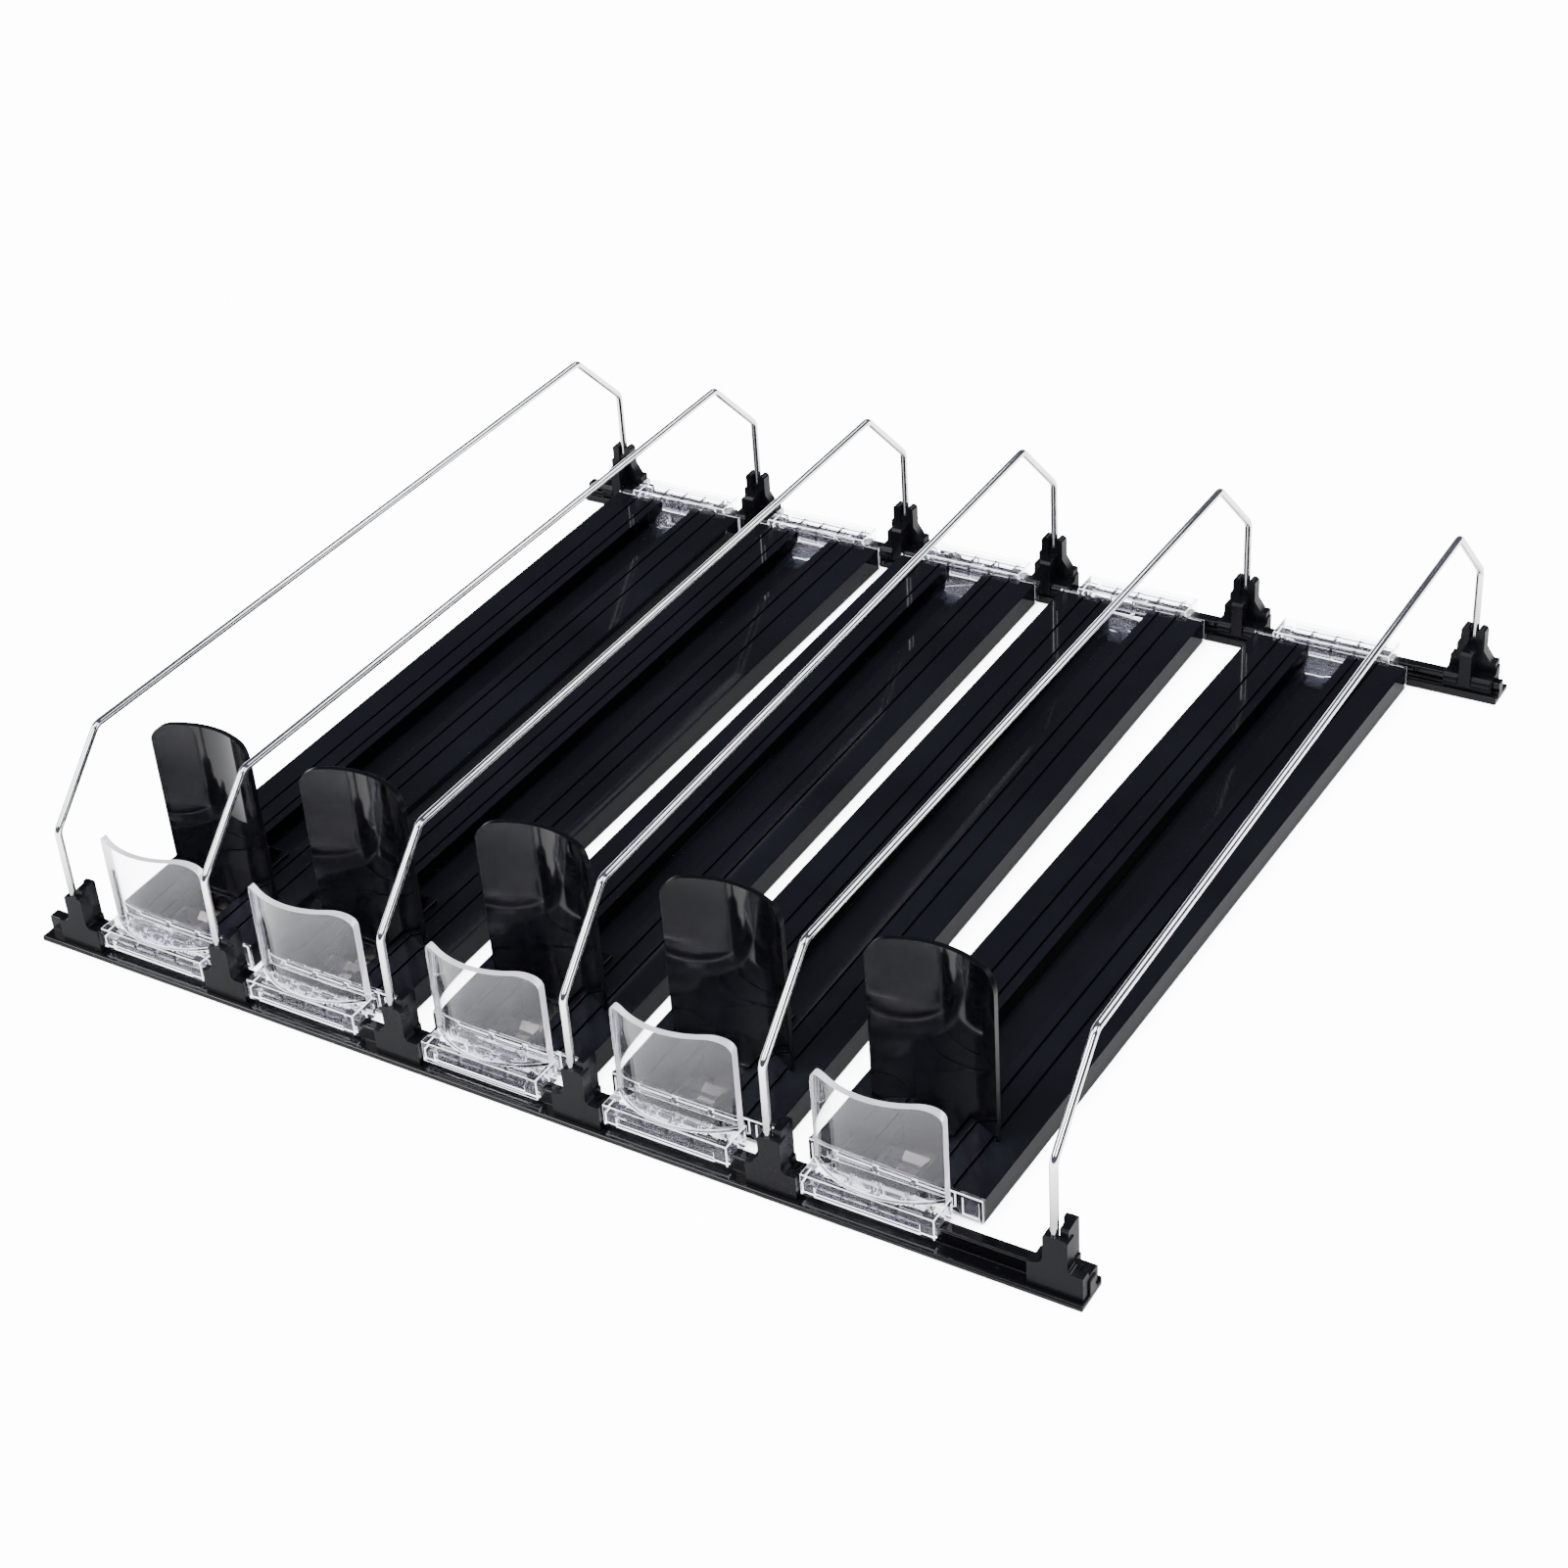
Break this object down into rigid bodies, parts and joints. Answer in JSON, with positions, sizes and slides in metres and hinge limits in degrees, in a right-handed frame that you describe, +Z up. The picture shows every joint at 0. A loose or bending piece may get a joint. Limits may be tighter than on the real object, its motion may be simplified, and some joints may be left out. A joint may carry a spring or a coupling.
{
  "type": "spring-pusher can organizer for a fridge shelf",
  "caption": "Fridge shelf organizer with spring-driven pushers that feed rows of cans forward between bent wire dividers to clear curved stops.",
  "frame": {"origin": "on the floor, midway along the rails and midway between them", "axes": "+X along the rails to the right, +Y from the front rail to the rear one, +Z up"},
  "size_m": [0.4274, 0.3884, 0.0835],
  "materials": {
    "rail_black": "gloss, extruded",
    "bracket_black": "satin, moulded",
    "track_black": "smooth, extruded",
    "clear_plastic": "clear, polished",
    "wire_chrome": "bright plated",
    "pusher_black": "high gloss",
    "spring_steel": "bright rolled strip"
  },
  "bodies": {
    "base": {"front_rail": "rail_black", "rear_rail": "rail_black"},
    "divider_1": {"wire_divider_1": "wire_chrome", "front_bracket_1": "bracket_black", "rear_bracket_1": "bracket_black"},
    "divider_2": {"wire_divider_2": "wire_chrome", "front_bracket_2": "bracket_black", "rear_bracket_2": "bracket_black"},
    "divider_3": {"wire_divider_3": "wire_chrome", "front_bracket_3": "bracket_black", "rear_bracket_3": "bracket_black"},
    "divider_4": {"wire_divider_4": "wire_chrome", "front_bracket_4": "bracket_black", "rear_bracket_4": "bracket_black"},
    "divider_5": {"wire_divider_5": "wire_chrome", "front_bracket_5": "bracket_black", "rear_bracket_5": "bracket_black"},
    "divider_6": {"wire_divider_6": "wire_chrome", "front_bracket_6": "bracket_black", "rear_bracket_6": "bracket_black"},
    "lane_1": {"track_1": "track_black", "front_stop_1": "clear_plastic", "rear_clip_1": "clear_plastic"},
    "lane_2": {"track_2": "track_black", "front_stop_2": "clear_plastic", "rear_clip_2": "clear_plastic"},
    "lane_3": {"track_3": "track_black", "front_stop_3": "clear_plastic", "rear_clip_3": "clear_plastic"},
    "lane_4": {"track_4": "track_black", "front_stop_4": "clear_plastic", "rear_clip_4": "clear_plastic"},
    "lane_5": {"track_5": "track_black", "front_stop_5": "clear_plastic", "rear_clip_5": "clear_plastic"},
    "pusher_unit_1": {"pusher_1": "pusher_black", "spring_1": "spring_steel"},
    "pusher_unit_2": {"pusher_2": "pusher_black", "spring_2": "spring_steel"},
    "pusher_unit_3": {"pusher_3": "pusher_black", "spring_3": "spring_steel"},
    "pusher_unit_4": {"pusher_4": "pusher_black", "spring_4": "spring_steel"},
    "pusher_unit_5": {"pusher_5": "pusher_black", "spring_5": "spring_steel"}
  },
  "joints": [
    {"name": "divider_slide_1", "type": "slide", "parent": "base", "child": "divider_1", "axis": [1, 0, 0], "range_m": [-0.0088, 0]},
    {"name": "divider_slide_2", "type": "slide", "parent": "base", "child": "divider_2", "axis": [1, 0, 0], "range_m": [-0.0008, 0]},
    {"name": "divider_slide_3", "type": "slide", "parent": "base", "child": "divider_3", "axis": [1, 0, 0], "range_m": [-0.0031, 0]},
    {"name": "divider_slide_4", "type": "slide", "parent": "base", "child": "divider_4", "axis": [1, 0, 0], "range_m": [-0.0011, 0]},
    {"name": "divider_slide_5", "type": "slide", "parent": "base", "child": "divider_5", "axis": [1, 0, 0], "range_m": [-0.0037, 0]},
    {"name": "divider_slide_6", "type": "slide", "parent": "base", "child": "divider_6", "axis": [1, 0, 0], "range_m": [-0.0103, 0]},
    {"name": "lane_slide_1", "type": "slide", "parent": "base", "child": "lane_1", "axis": [1, 0, 0], "range_m": [0, 0.0008]},
    {"name": "lane_slide_2", "type": "slide", "parent": "base", "child": "lane_2", "axis": [1, 0, 0], "range_m": [0, 0.0031]},
    {"name": "lane_slide_3", "type": "slide", "parent": "base", "child": "lane_3", "axis": [1, 0, 0], "range_m": [0, 0.0011]},
    {"name": "lane_slide_4", "type": "slide", "parent": "base", "child": "lane_4", "axis": [1, 0, 0], "range_m": [0, 0.0037]},
    {"name": "lane_slide_5", "type": "slide", "parent": "base", "child": "lane_5", "axis": [1, 0, 0], "range_m": [0, 0.0103]},
    {"name": "pusher_slide_1", "type": "slide", "parent": "lane_1", "child": "pusher_unit_1", "axis": [-0.0005, 1, 0], "range_m": [0, 0.283], "stiffness_N_per_m": 4, "springref_m": -0.45, "deforming": ["spring_1"]},
    {"name": "pusher_slide_2", "type": "slide", "parent": "lane_2", "child": "pusher_unit_2", "axis": [0.0034, 1, 0], "range_m": [0, 0.283], "stiffness_N_per_m": 4, "springref_m": -0.45, "deforming": ["spring_2"]},
    {"name": "pusher_slide_3", "type": "slide", "parent": "lane_3", "child": "pusher_unit_3", "axis": [-0.0053, 1, 0], "range_m": [0, 0.283], "stiffness_N_per_m": 4, "springref_m": -0.45, "deforming": ["spring_3"]},
    {"name": "pusher_slide_4", "type": "slide", "parent": "lane_4", "child": "pusher_unit_4", "axis": [-0.0032, 1, 0], "range_m": [0, 0.283], "stiffness_N_per_m": 4, "springref_m": -0.45, "deforming": ["spring_4"]},
    {"name": "pusher_slide_5", "type": "slide", "parent": "lane_5", "child": "pusher_unit_5", "axis": [0.0242, 0.9997, 0], "range_m": [0, 0.283], "stiffness_N_per_m": 4, "springref_m": -0.45, "deforming": ["spring_5"]}
  ]
}
